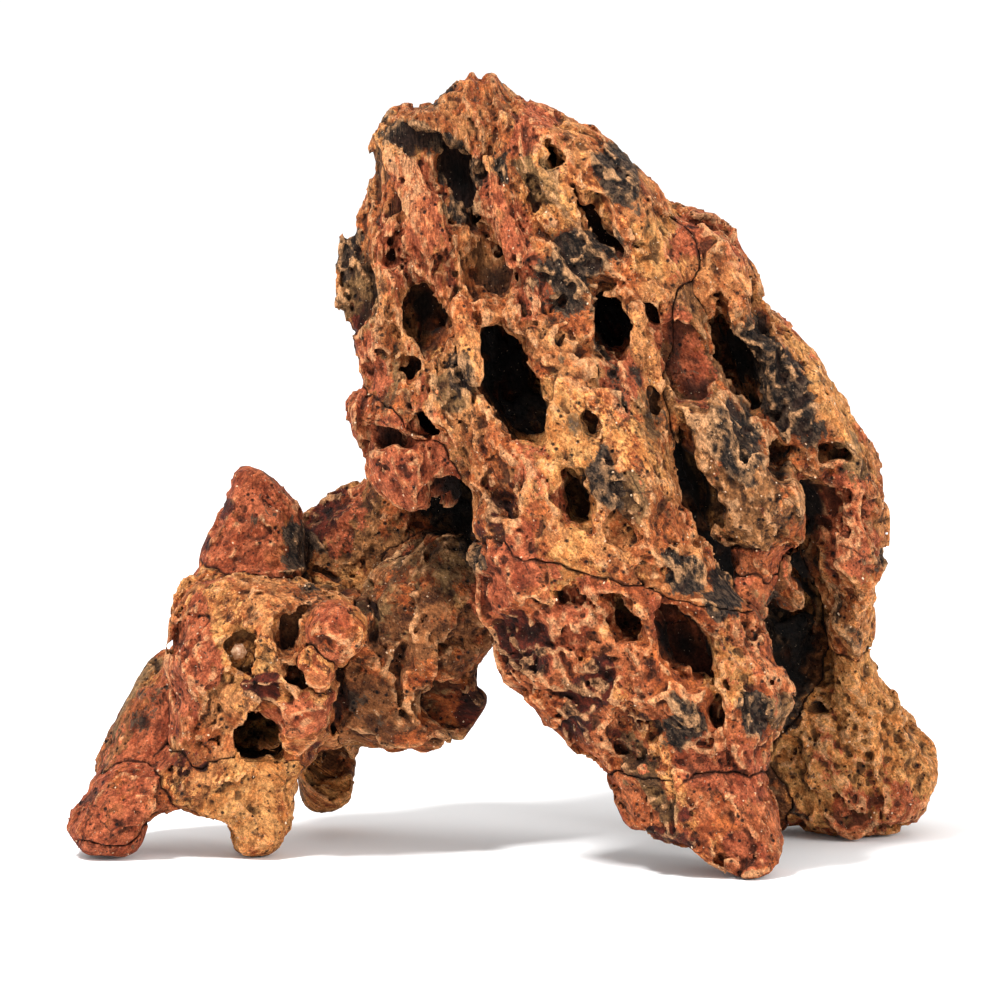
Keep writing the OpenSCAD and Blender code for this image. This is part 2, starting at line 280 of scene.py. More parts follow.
# How rough each stone is beside the slab, which is 1.
ROUGHNESS = {
    "round_pebble": 0.85, "small_pebble": 0.85, "red_fin": 0.6, "front_leg": 0.55, "left_toe": 0.6, "toe_pad": 0.4,
    "left_flank": 0.65, "left_body": 0.8, "bridge_column": 0.8, "rear_saddle": 0.7, "rear_scoop": 0.5,
    "right_boulder": 1.15, "chip_upper": 0.7, "chip_middle": 0.7, "chip_lower": 0.7, "slab_foot": 0.55,
    "middle_panel": 0.9,
}

# Ribs of rock that cross the hollows: [x, y, z] at each end, and radius, in mm.
RIBS = [
    ((-31, -31, 213), (-20, -35, 189), 5.5), ((-3, -30, 212), (4, -38, 184), 4.5),
    ((-24, -30, 196), (-38, -38, 166), 4),
    ((-12, -42, 170), (-8, -47, 150), 3.5), ((43, -36, 160), (50, -32, 142), 3),
    ((50, -50, 80), (55, -51, 62), 3.2), ((16, -47, 90), (28, -48, 84), 4.8),
    ((-80, -19, 71), (-75, -19, 56), 3.8), ((-65, -22, 76), (-63, -23, 67), 4.5),
    ((-16, -14, 52), (-16, -16, 41), 5), ((-80, 12, 32), (-62, 12, 33), 5),
    ((-82, 12, 40), (-64, 12, 41), 5), ((-14, -4, 38), (-9, -4, 46), 5.5), ((41, -38, 168), (40, -36, 150), 3),
]


def lean_of(x):
    """The layers lean to the right going down on the slab, and to the left on the left rock."""
    return np.radians(30) * np.clip((x + 35) / 45, -0.8, 1)


def across_layers(p):
    """Points turned so that the last axis runs along the layers of the rock."""
    lean = lean_of(p[:, 0])
    c, s = np.cos(lean), np.sin(lean)
    x, z = p[:, 0], p[:, 2] - 110
    return np.stack([x * c + z * s, p[:, 1], z * c - x * s], 1).astype(np.float32)


def roughness(p):
    """How far the surface stands out at points p, in mm."""
    q = across_layers(p)
    q = q + np.stack([layered_noise(p / 15, 3, k) for k in range(3)], 1) * 5
    swell = layered_noise(q / (26, 28, 60), 2, 1) * 2.6
    reach, number, tilt = nearest_seed(q / (13, 14, 30))
    troughs = np.minimum(reach, 0.75) ** 2 * (0.4 + number)
    broken = 2.2 * (number - 0.5) + 3.4 * tilt
    q = q + np.stack([layered_noise(p / 4.5, 2, k + 1) for k in range(3)], 1) * 1.3
    reach, number, tilt = nearest_seed(q / (6, 6.5, 11) + 31.7)
    cups = np.minimum(reach, 0.8) ** 2 * (0.2 + number * 1.1)
    broken = broken + 1.5 * (number - 0.5) + 2.0 * tilt
    reach, number, tilt = nearest_seed(q / (2.9, 3.1, 4.8) + 11.3)
    broken = broken + 0.8 * (number - 0.5) + 1.1 * tilt
    ridges = 1 - np.abs(layered_noise(q / (5.5, 7, 22), 3, 2, 0.6)) * 2.4
    crumbs = layered_noise(q / (2.4, 2.4, 3.6), 3, 0, 0.7)
    reach, number, tilt = nearest_seed(p / 3.9 + 7.7)
    pores = np.clip((0.42 - reach) / 0.2, 0, 1) * (number > 0.6)
    out = (swell + 5.0 * (troughs - 0.28) + 1.3 * (cups - 0.28) + 1.05 * broken + 0.45 * ridges
           + 0.45 * crumbs - 1.2 * pores - 0.6)
    return np.where(out > 1.2, 1.2 + 0.4 * (out - 1.2), out)


band = np.abs(body) < REACH - 1.5
spots = np.argwhere(band)
points = (spots * CELL + low_corner).astype(np.float32)
depth = body[band]
near_seam = np.clip(runner_up[band] / 5, 0.3, 1)
bulk = blurred((body < 0).astype(np.float32), cells(6))[band]
rough = roughness(points) * near_seam * np.array([ROUGHNESS.get(n, 1) for n in stones], np.float32)[owner[band]]
rough = rough * (1 - 0.45 * np.clip((points[:, 2] - 205) / 20, 0, 1))
rough = np.where(rough < 0, rough * np.clip((bulk - 0.25) / 0.25, 0.2, 1), rough)
cast = depth - rough
for low, high, radius in RIBS:
    low, high = np.array(low, np.float32), np.array(high, np.float32)
    near = (np.abs(points - (low + high) / 2) < np.abs(high - low) / 2 + radius + 4).all(1)
    along = np.clip((points[near] - low) @ (high - low) / ((high - low) ** 2).sum(), 0, 1)
    away = np.linalg.norm(points[near] - low - along[:, None] * (high - low), axis=1) - radius
    cast[near] = np.minimum(cast[near], away - 0.7 * rough[near])
skin = cast.copy()

wander = np.stack([layered_noise(points / 8 + 9 * k, 3, k) for k in range(2)], 1) * 3.0
wander += np.stack([layered_noise(points / 3.5 + 4 * k, 2, k + 2) for k in range(2)], 1) * 1.7
for x, z, wide, tall, lean, deep, back in HOLLOWS:
    span = max(wide, tall)
    near = (np.abs(points[:, 0] - x) < span) & (np.abs(points[:, 2] - z) < span) & (points[:, 1] < back)
    dx, dz = points[near, 0] - x + wander[near, 0], points[near, 2] - z + wander[near, 1]
    c, s = math.cos(math.radians(lean)), math.sin(math.radians(lean))
    a, b = (dx * c - dz * s) / (wide / 2), (dx * s + dz * c) / (tall / 2)
    rim = (1.0 - np.sqrt(a * a + b * b)) * wide / 2
    rim = rim + 0.45 * rough[near]
    bowl = deep + skin[near]
    cast[near] = np.maximum(cast[near], np.minimum(np.minimum(rim, bowl), back - points[near, 1]))

surface = body.copy()
surface[band] = cast
for thin, worn_back in FINS:
    surface = np.maximum(surface, blurred(surface, max(1, cells(thin)), 1) - worn_back)
pin_block = distance_block(frame["nodes"]["joint_pins"])
round_pins = part_of(pin_block)
surface[round_pins] = np.minimum(surface[round_pins], np.maximum(pin_block[1] - PIN_COVER, body[round_pins] + 0.5))
# rim_of and hull measure how far the surface stands out, and shade how much rock surrounds it: the materials lighten
# what stands out (dry brush and painted highlight) and darken what is surrounded (dark wash and painted shade)
rim_of = blurred(surface, max(1, cells(1)), 1)
shade = blurred((surface < 0).astype(np.float32), cells(4))
hull = blurred(surface, cells(2.4), 1)


def covered():
    """Where rock lies both in front and behind, counting a narrow window as rock."""
    rock = (nearest < -0.5).astype(np.float32)
    ahead = np.maximum.accumulate(rock, axis=1)
    behind = np.maximum.accumulate(rock[:, ::-1], axis=1)[:, ::-1]
    well_in = cells(9)  # rock beside a face does not count as rock in front of it
    ahead = np.pad(ahead, ((0, 0), (well_in, 0), (0, 0)))[:, :-well_in]
    span = cells(8)
    for_any, for_all = 0.004, 0.995  # shares of rock that count as some and as full cover
    grown = [(blurred(c, span, 1, (0, 2)) > for_any).astype(np.float32) for c in (ahead, behind)]
    full = [blurred(c, span, 1, (0, 2)) > for_all for c in grown]
    return full[0] & full[1]


# open_air and cave: air closed in between rock in front and behind; faces beside it are painted near-black shade, and
# no grains are strewn on them
open_air = ((surface > 1.5) & covered()).astype(np.float32)
cave = blurred(open_air, cells(3), 1)
gap_noise = np.zeros_like(surface)
seam_wave = np.zeros_like(surface)
seam_band = band & (np.abs(runner_up) < 6)
seam_points = (np.argwhere(seam_band) * CELL + low_corner).astype(np.float32)
gap_noise[seam_band] = np.clip(layered_noise(seam_points / 9, 2, 2) * 0.25, 0, 0.1)
seam_wave[seam_band] = layered_noise(seam_points / 13, 3, 1) * SEAM_WAVE


def sample(grid, p):
    """Trilinear values of a grid at points p in mm."""
    at = np.clip((p - low_corner) / CELL, 0, np.array(grid.shape) - 1.001)
    i = at.astype(int)
    t = at - i
    total = 0
    for dx in (0, 1):
        for dy in (0, 1):
            for dz in (0, 1):
                w = abs(1 - dx - t[:, 0]) * abs(1 - dy - t[:, 1]) * abs(1 - dz - t[:, 2])
                total = total + w * grid[i[:, 0] + dx, i[:, 1] + dy, i[:, 2] + dz]
    return total.astype(np.float32)


# ---------------------------------------------------------------- materials

def hex_colour(code):
    """A linear colour from an sRGB hex code."""
    parts = [int(code[i : i + 2], 16) / 255 for i in (0, 2, 4)]
    return tuple(c / 12.92 if c <= 0.04045 else ((c + 0.055) / 1.055) ** 2.4 for c in parts) + (1.0,)


def add_node(tree, kind, settings=None, **links):
    """Adds a node. Settings are its properties or socket values, and links are the sockets that feed it."""
    n = tree.nodes.new(kind)
    for key, value in (settings or {}).items():
        if isinstance(key, str) and hasattr(n, key):
            setattr(n, key, value)
        else:
            n.inputs[key].default_value = value
    for key, source in links.items():
        socket = n.inputs[int(key[1:])] if key[0] == "i" and key[1:].isdigit() else n.inputs[key]
        tree.links.new(source, socket)
    return n


# What recast() measures on each stone, and the colours that washes() lays on it.
MEASURED = ("hollow", "shade", "edge", "rim", "cave")
WASHED = ("red", "char", "olive", "maroon", "bright")

# Noise in the stone: the points it follows, its size in mm, detail and roughness. "along" runs with the layers.
# Stone powder is 0.1 to 0.5 mm, and its grain and speckle are drawn coarser so that they show.
NOISES = {
    "mottle": ("place", 9, 6, 0.7), "grain": ("along", 1.6, 5, 0.75), "flake": ("along", 3.4, 6, 0.75),
    "fray": ("along", 3.2, 8, 0.78), "rust": ("place", 15, 7, 0.75), "umber": ("along", 8, 8, 0.78),
    "crack areas": ("place", 14, 3, 0.6), "pore areas": ("place", 6, 2, 0.6), "fine pore areas": ("place", 4, 3, 0.6),
    "speckle": ("place", 0.7, 4, 0.8), "glint": ("place", 0.8, 2, 0.6),
}
# Cells in the stone: the points they follow, what is measured in them, and their size in mm.
CELLS = {
    "cracks": ("bent", "DISTANCE_TO_EDGE", 7), "pores": ("place", "F1", 3.1), "fine pores": ("place", "F1", 1.4),
    "grit": ("along", "F1", 1.3), "facets": ("bent", "F1", 3.6),
}
# Smooth steps: what each follows, where it starts and ends, and its values there if not 0 and 1.
STEPS = {
    "mottled": ("mottle", 0.40, 0.60), "flaked": ("flake", 0.40, 0.60), "grained": ("grain", 0.40, 0.60),
    "rusted": ("rust", 0.50, 0.56), "umbered": ("umber", 0.55, 0.60),
    # edges and rims that stand out are lightened: partly dry brush, partly painted highlight
    "worn edges with painted highlight": ("edge", 0.15, 0.8), "brushed grain": ("grain", 0.38, 0.58, 0.1, 1.0),
    "thin rims": ("rim", 0.14, 0.44), "brushed flakes": ("flake", 0.42, 0.54, 0.05, 0.7),
    # creases, pits and surrounded faces are darkened: partly dark wash, partly painted shade; the deepest pits and
    # faces closed in between rock get near-black painted shade
    "creases": ("rim", -0.10, -0.42), "pits": ("hollow", 4.5, 8.5), "deep pit painted shade": ("hollow", 6.5, 11.0),
    "shaded": ("shade", 0.65, 0.80), "painted cave shade": ("cave", 0.06, 0.34),
    "crack lines": ("cracks", 0.04, 0.010), "cracking": ("crack areas", 0.56, 0.64),
    "pore mouths": ("pores", 0.24, 0.10), "pored": ("pore areas", 0.45, 0.55),
    "fine mouths": ("fine pores", 0.32, 0.12), "finely pored": ("fine pore areas", 0.47, 0.56),
    "grain tint": ("grain", 0.3, 0.7, 0.42, 1.35), "speckle tint": ("speckle", 0.3, 0.7, 0.55, 1.4),
    "mattness": ("grain", 0.3, 0.7, 0.95, 0.62),
}
RAGGED = 2.6  # how far the fray breaks up the outline of a wash
STEPS.update({label: ("ragged " + label, 0.42 + RAGGED / 2, 0.58 + RAGGED / 2) for label in WASHED})
# Where two of those meet.
MEETINGS = {
    "brushed edges with painted highlight": ("worn edges with painted highlight", "brushed grain"), "brushed rims with painted highlight": ("thin rims", "brushed flakes"),
    "hairlines": ("crack lines", "cracking"), "open pores": ("pore mouths", "pored"),
    "fine open pores": ("fine mouths", "finely pored"),
}
# Washes, from first to last: two colours, the step between them, where the wash lies, and how strongly.
WASHES = [
    ("8E3C18", "CA6C34", "flaked", "rusted", 0.85), ("381A0C", "704022", "flaked", "umbered", 0.85),
    ("BE7438", "E6A460", "flaked", "bright", 0.85), ("48301A", "8E6A42", "mottled", "olive", 0.9),
    ("87381C", "C26640", "flaked", "red", 0.95), ("2C0E06", "642412", "flaked", "maroon", 1.0),
    ("140C07", "503C2C", "grained", "char", 1.0),
]
# Over the washes, from first to last: how it is mixed in, its colour (or none, where the step itself is the tint),
# where it lies, and how strongly. Edges and rims are lightened, partly as dry brush and partly as painted highlight;
# creases, pits and pores are darkened, partly as dark wash and partly as painted shade; the deepest pits and faces
# closed in between rock are painted near-black shade; glints are painted highlights.
COATS = [
    ("MULTIPLY", (1.5, 1.38, 1.2, 1), "brushed edges with painted highlight", 1.0), ("MIX", hex_colour("D4965C"), "brushed edges with painted highlight", 0.25),
    ("MIX", hex_colour("240E06"), "creases", 0.75), ("MIX", hex_colour("2C1208"), "pits", 0.75),
    ("MIX", hex_colour("080302"), "deep pit painted shade", 0.98), ("MIX", hex_colour("1C0A05"), "shaded", 0.72),
    ("MIX", hex_colour("DEA472"), "brushed rims with painted highlight", 1.0), ("MIX", hex_colour("040201"), "painted cave shade", 0.985),
    ("MIX", hex_colour("1E0C05"), "hairlines", 0.6), ("MIX", hex_colour("0C0503"), "open pores", 0.94),
    ("MIX", hex_colour("1E0C06"), "fine open pores", 0.85),
    ("MULTIPLY", None, "grain tint", 1.0), ("MULTIPLY", None, "speckle tint", 1.0),
    ("MIX", hex_colour("F0D2AE"), "glints", 0.6),
]
# What stands out from the surface, and by what share of RELIEF_HEIGHT.
RELIEF = {
    "flake": 1.0, "grain": 0.6, "grit": 0.35, "speckle": 0.35, "open pores": -0.9, "facets": 0.9, "hairlines": -0.8,
}
RELIEF_HEIGHT = 2.2 * MM


def resin_stone(name, dark, light):
    """Cast polyester resin filled with stone powder, dry-brushed and washed with earth colours. To the eye it is
    matt and crumbly; its ridges are painted pale, partly as dry brush and partly as painted highlight, and its
    hollows nearly black, partly as dark wash and mostly as painted shade."""
    m = bpy.data.materials.new(name)
    m.use_nodes = True
    t = m.node_tree
    made = {"place": add_node(t, "ShaderNodeTexCoord").outputs["Object"]}
    layers = add_node(t, "ShaderNodeAttribute", {"attribute_name": "layers"}).outputs["Vector"]
    made["along"] = add_node(t, "ShaderNodeMapping", {"Scale": (1, 1, 0.62)}, Vector=layers).outputs[0]
    drift = add_node(t, "ShaderNodeTexNoise", {"Scale": 1 / (9 * MM), "Detail": 4.0}, Vector=made["place"])
    bend = {"operation": "MULTIPLY_ADD", 1: (6 * MM,) * 3}
    made["bent"] = add_node(t, "ShaderNodeVectorMath", bend, i0=drift.outputs["Color"], i2=made["along"]).outputs[0]
    for label, (follows, size, detail, rough) in NOISES.items():
        settings = {"Scale": 1 / (size * MM), "Detail": detail, "Roughness": rough}
        made[label] = add_node(t, "ShaderNodeTexNoise", settings, Vector=made[follows]).outputs["Fac"]
    for label, (follows, feature, size) in CELLS.items():
        settings = {"feature": feature, "Scale": 1 / (size * MM)}
        made[label] = add_node(t, "ShaderNodeTexVoronoi", settings, Vector=made[follows]).outputs["Distance"]
    for label in MEASURED + WASHED:
        made[label] = add_node(t, "ShaderNodeAttribute", {"attribute_name": label}).outputs["Fac"]
    for label in WASHED:
        settings = {"operation": "MULTIPLY_ADD", 1: RAGGED}
        made["ragged " + label] = add_node(t, "ShaderNodeMath", settings, i0=made["fray"], i2=made[label]).outputs[0]
    for label, (follows, low, high, *ends) in STEPS.items():
        at_low, at_high = ends or (0.0, 1.0)
        settings = {"interpolation_type": "SMOOTHSTEP", "From Min": low, "From Max": high,
                    "To Min": at_low, "To Max": at_high}
        made[label] = add_node(t, "ShaderNodeMapRange", settings, Value=made[follows]).outputs[0]
    for label, (one, other) in MEETINGS.items():
        meeting = add_node(t, "ShaderNodeMath", {"operation": "MULTIPLY"}, i0=made[one], i1=made[other])
        made[label] = meeting.outputs[0]
    glints = add_node(t, "ShaderNodeMath", {"operation": "GREATER_THAN", 1: 0.72}, i0=made["glint"])
    made["glints"] = glints.outputs[0]

    mixing = {"data_type": "RGBA", "blend_type": "MIX"}
    base = {**mixing, 6: hex_colour(dark), 7: hex_colour(light)}
    colour = add_node(t, "ShaderNodeMix", base, i0=made["mottled"]).outputs[2]
    for low, high, between, where, amount in WASHES:
        tone = add_node(t, "ShaderNodeMix", {**mixing, 6: hex_colour(low), 7: hex_colour(high)}, i0=made[between])
        share = add_node(t, "ShaderNodeMath", {"operation": "MULTIPLY", 1: amount}, i0=made[where])
        colour = add_node(t, "ShaderNodeMix", mixing, i0=share.outputs[0], i6=colour, i7=tone.outputs[2]).outputs[2]
    for mode, tone, where, amount in COATS:
        coat = add_node(t, "ShaderNodeMix", {"data_type": "RGBA", "blend_type": mode, 0: amount}, i6=colour)
        if tone is None:
            t.links.new(made[where], coat.inputs[7])
        else:
            coat.inputs[7].default_value = tone
            share = add_node(t, "ShaderNodeMath", {"operation": "MULTIPLY", 1: amount}, i0=made[where])
            t.links.new(share.outputs[0], coat.inputs[0])
        colour = coat.outputs[2]

    bsdf = t.nodes["Principled BSDF"]
    t.links.new(colour, bsdf.inputs["Base Color"])
    height = None
    for label, share in RELIEF.items():
        settings = {"operation": "MULTIPLY_ADD", 1: share, 2: 0.0}
        below = {"i2": height} if height else {}
        height = add_node(t, "ShaderNodeMath", settings, i0=made[label], **below).outputs[0]
    bump = add_node(t, "ShaderNodeBump", {"Strength": 1.0, "Distance": RELIEF_HEIGHT}, Height=height)
    t.links.new(bump.outputs[0], bsdf.inputs["Normal"])
    t.links.new(made["mattness"], bsdf.inputs["Roughness"])
    bsdf.inputs["IOR"].default_value = 1.5
    bsdf.inputs["Specular IOR Level"].default_value = 0.2
    return m


finishes = {
    "ochre_resin": resin_stone("cast resin, ochre wash, dry-brushed", "944C22", "CE8850"),
    "red_resin": resin_stone("cast resin, brick wash, dry-brushed", "8A3E1A", "C66E40"),
    "brown_resin": resin_stone("cast resin, umber wash, dry-brushed", "562E16", "9C6036"),
    "charcoal_resin": resin_stone("cast resin, charcoal wash, dry-brushed", "5C3618", "A46C3E"),
}


def clouded(name, size, noise_settings, ends, colours, bump_strength, bump_height, sockets):
    """A material whose colour and fine relief follow one pattern: its size and height are in mm."""
    m = bpy.data.materials.new(name)
    m.use_nodes = True
    t = m.node_tree
    bsdf = t.nodes["Principled BSDF"]
    place = add_node(t, "ShaderNodeTexCoord").outputs["Object"]
    settings = {"Scale": 1 / (size * MM), **noise_settings}
    pattern = add_node(t, "ShaderNodeTexNoise", settings, Vector=place).outputs["Fac"]
    tint = add_node(t, "ShaderNodeValToRGB", Fac=pattern)
    for element, end, code in zip(tint.color_ramp.elements, ends, colours):
        element.position, element.color = end, hex_colour(code)
    t.links.new(tint.outputs["Color"], bsdf.inputs["Base Color"])
    settings = {"Strength": bump_strength, "Distance": bump_height * MM}
    bump = add_node(t, "ShaderNodeBump", settings, Height=pattern)
    t.links.new(bump.outputs[0], bsdf.inputs["Normal"])
    for socket, value in sockets.items():
        bsdf.inputs[socket].default_value = value
    return m


# Stainless rod, brushed: fine grey lines that spread its highlights. The lines are drawn coarser than real ones.
brushed_stainless = clouded("stainless rod, brushed", 0.4167, {"Detail": 4.0}, (0, 1), ("84868A", "C4C6C8"),
                            0.3, 0.05, {"Metallic": 1.0, "Roughness": 0.35})
# Clear polyester resin, tinted amber and cast in a faceted mould: glossy, with cloudy veins.
amber_crystal = clouded("clear resin, amber tint, cast", 1.613, {"Detail": 6.0, "Roughness": 0.7}, (0.35, 0.7),
                        ("8A4A1C", "E4C09A"), 0.7, 0.4,
                        {"Roughness": 0.16, "IOR": 1.55, "Transmission Weight": 0.35})

for kept, finish in (("joint_pins", brushed_stainless), ("pit_crystal", amber_crystal)):
    for slot in frame["nodes"][kept].material_slots:
        slot.material = finish
record_slot = {s["node"]: s["material_slot"] for s in frame["record"]["subparts"]}


# Colour washes on the front: [x, z, width, height, lean, colour], in mm.
PATCHES = [
    (36, 208, 13, 22, -25, "char"), (1, 211, 7, 8, 0, "char"), (22, 182, 28, 18, -35, "char"),
    (70, 128, 16, 28, -28, "char"), (82, 144, 17, 46, -33, "char"), (54, 47, 15, 17, -20, "char"),
    (76, 49, 15, 17, -15, "char"), (56, 91, 13, 13, -30, "char"), (-8, 95, 8, 11, 0, "char"),
    (66, 83, 12, 13, -20, "char"), (-11, 150, 8, 13, 0, "char"), (-58, 91, 18, 20, 0, "char"),
    (-24, 218, 26, 9, 14, "char"), (-12, 206, 13, 26, -12, "char"),
    (-46, 184, 7, 18, 0, "char"), (128, 28, 8, 20, -10, "char"), (30, 120, 10, 20, 0, "char"),
    (36, 116, 10, 20, -20, "olive"), (-14, 146, 16, 12, 0, "olive"), (-42, 172, 12, 24, -8, "olive"),
    (84, 50, 10, 12, 0, "olive"), (105, 118, 10, 16, -20, "olive"), (12, 205, 12, 18, -30, "olive"),
    (44, 30, 8, 30, -30, "olive"), (-112, 48, 8, 34, 30, "olive"),
    (12, 226, 34, 14, -55, "red"), (-24, 200, 12, 34, -20, "red"), (-4, 203, 8, 26, -12, "red"),
    (6, 184, 12, 40, -20, "red"), (-29, 184, 14, 20, -20, "red"), (36, 150, 9, 26, -10, "red"),
    (50, 162, 12, 12, 0, "red"), (-37, 152, 10, 20, -15, "red"), (2, 92, 36, 15, -60, "red"),
    (18, 76, 36, 20, -50, "red"), (47, 78, 8, 16, -10, "red"), (71, 32, 16, 24, -10, "red"),
    (60, 36, 12, 26, -30, "red"), (72, 9, 14, 18, 0, "red"), (56, 150, 13, 22, -20, "red"),
    (104, 98, 20, 36, -10, "red"), (112, 12, 34, 18, 0, "red"), (90, 32, 12, 14, 0, "red"),
    (-92, 62, 14, 40, 10, "red"), (-62, 44, 26, 10, -20, "red"), (-104, 36, 14, 34, 30, "red"),
    (60, 190, 26, 12, -40, "red"), (72, 186, 10, 14, 0, "red"), (-30, 122, 30, 30, 0, "red"),
    (7, 70, 18, 24, -35, "maroon"), (50, 12, 16, 14, 0, "maroon"), (-70, 53, 12, 9, 0, "maroon"),
    (-44, 160, 8, 10, 0, "maroon"), (-84, 103, 8, 10, 0, "maroon"), (-89, 92, 6, 8, 0, "maroon"),
    (-6, 44, 16, 20, 0, "maroon"), (26, 54, 28, 13, -60, "maroon"), (86, 26, 9, 11, 0, "maroon"),
    (47, 186, 20, 22, -20, "bright"), (16, 132, 22, 40, -25, "bright"), (20, 96, 50, 10, -70, "bright"),
    (68, 62, 14, 26, -20, "bright"), (-75, 20, 50, 16, -70, "bright"), (-77, 63, 18, 24, -15, "bright"),
    (-30, 216, 20, 12, 50, "bright"), (98, 140, 10, 60, -30, "bright"), (108, 34, 20, 20, 0, "bright"),
]
# How strongly each stone is washed all over with a colour.
OVERALL = {
    "left_spur": {"red": 0.75}, "red_fin": {"red": 0.95}, "left_toe": {"red": 0.7}, "toe_pad": {"red": 0.85},
    "round_pebble": {"red": 0.85}, "small_pebble": {"red": 0.55}, "chip_upper": {"red": 0.7},
    "chip_middle": {"red": 0.9}, "chip_lower": {"maroon": 0.5, "red": 0.4}, "left_flank": {"olive": 0.5},
    "rear_saddle": {"olive": 0.45, "char": 0.3}, "bridge_column": {"olive": 0.75},
    "rear_scoop": {"bright": 0.75}, "right_boulder": {"bright": 1.0, "red": 0.45, "olive": -1, "maroon": -1},
    "front_leg": {"bright": 0.8},
    "rear_shell": {"maroon": 0.2},
}


def washes(name, p):
    """How much of each colour lies on a stone at points p, from 0 to 1."""
    q = across_layers(p)
    drift = np.stack([layered_noise(p / 7 + 3 * k, 3, k) for k in range(2)], 1) * 3.5
    fray = layered_noise(q / (2.6, 2.6, 6), 3, 1, 0.7)
    front = np.clip((24 - p[:, 1]) / 16, 0, 1)
    found = {}
    for k, colour in enumerate(WASHED):
        scattered = layered_noise(q / (17, 17, 38) + 40 * k, 3, k % 4) * 1.5 - (0.05, 0.4, 0.45, 0.5, 0.1)[k]
        total = scattered * (1 - 0.45 * front)
        for x, z, wide, tall, lean, kind in PATCHES:
            if kind != colour:
                continue
            dx, dz = p[:, 0] - x + drift[:, 0], p[:, 2] - z + drift[:, 1]
            c, s = math.cos(math.radians(lean)), math.sin(math.radians(lean))
            a, b = (dx * c - dz * s) / (wide / 2), (dx * s + dz * c) / (tall / 2)
            total = np.maximum(total, (1.25 - np.sqrt(a * a + b * b)) * 1.6 * front - (1 - front))
        overall = OVERALL.get(name, {}).get(colour, 0)
        total = total + overall if overall < 0 else np.maximum(total, overall * 1.3 - 0.3 + scattered * 0.5)
        found[colour] = np.clip(total + fray * 0.25, -0.5, 1.5)
    return found


def recast(name):
    """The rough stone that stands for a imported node."""
    where, mine = part_of(blocks[name]), blocks[name][1]
    order = stones.index(name)
    ahead = owner[where] == order
    others = np.where(ahead, runner_up[where], nearest[where])
    side = np.sign(np.where(ahead, second_owner[where], owner[where]) - order)
    seam = (mine - others) / 2 + SEAM + gap_noise[where] + side * seam_wave[where]
    field = np.maximum(surface[where], seam)
    floor = low_corner[2] + (blocks[name][0][2] + np.arange(field.shape[2])) * CELL
    field = np.maximum(field, -floor[None, None, :])
    for axis in range(3):
        edge = [slice(None)] * 3
        for edge[axis] in (0, -1):
            field[tuple(edge)] = np.maximum(field[tuple(edge)], 0.5)
    grid = openvdb.FloatGrid(REACH)
    grid.copyFromArray(np.ascontiguousarray(field, np.float32))
    thinning = 0.0
    while True:
        at, tris, quads = grid.convertToPolygons(0.0, thinning)
        if 2 * len(quads) + len(tris) < MOST_TRIANGLES:
            break
        thinning += 0.02
    at, quads, tris = largest_piece(at, quads.astype(int), tris.astype(int))
    at = (at + blocks[name][0]) * CELL + low_corner
    mesh = bpy.data.meshes.new(name + "_cast")
    faces = [f[::-1] for f in quads.tolist()] + [f[::-1] for f in tris.tolist()]
    mesh.from_pydata((at * MM).tolist(), [], faces)
    grids = (-body, shade, hull, rim_of, cave)
    notes = {label: sample(grid, at) for label, grid in zip(MEASURED, grids)}
    notes.update(washes(name, at))
    for label, values in notes.items():
        mesh.attributes.new(label, "FLOAT", "POINT").data.foreach_set("value", values.astype(np.float32))
    layers = mesh.attributes.new("layers", "FLOAT_VECTOR", "POINT")
    layers.data.foreach_set("vector", (across_layers(at) * MM).ravel())
    mesh.materials.append(finishes[record_slot[name]])
    stone = bpy.data.objects.new(name + "_cast", mesh)
    bpy.context.scene.collection.objects.link(stone)
    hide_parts(name)
    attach(stone, "root")
    return stone


casts = {n: recast(n) for n in stones}


# ---------------------------------------------------------------- mineral grains

# Crushed quartz filler left bare by the dry brush: pale and a little glossy.
quartz_grain = clouded("crushed quartz filler, bare", 1.5, {"Detail": 3.0}, (0.35, 0.65), ("A87850", "D8B896"),
                       0.4, 0.2, {"Roughness": 0.4})


FIRST_SEED = 7


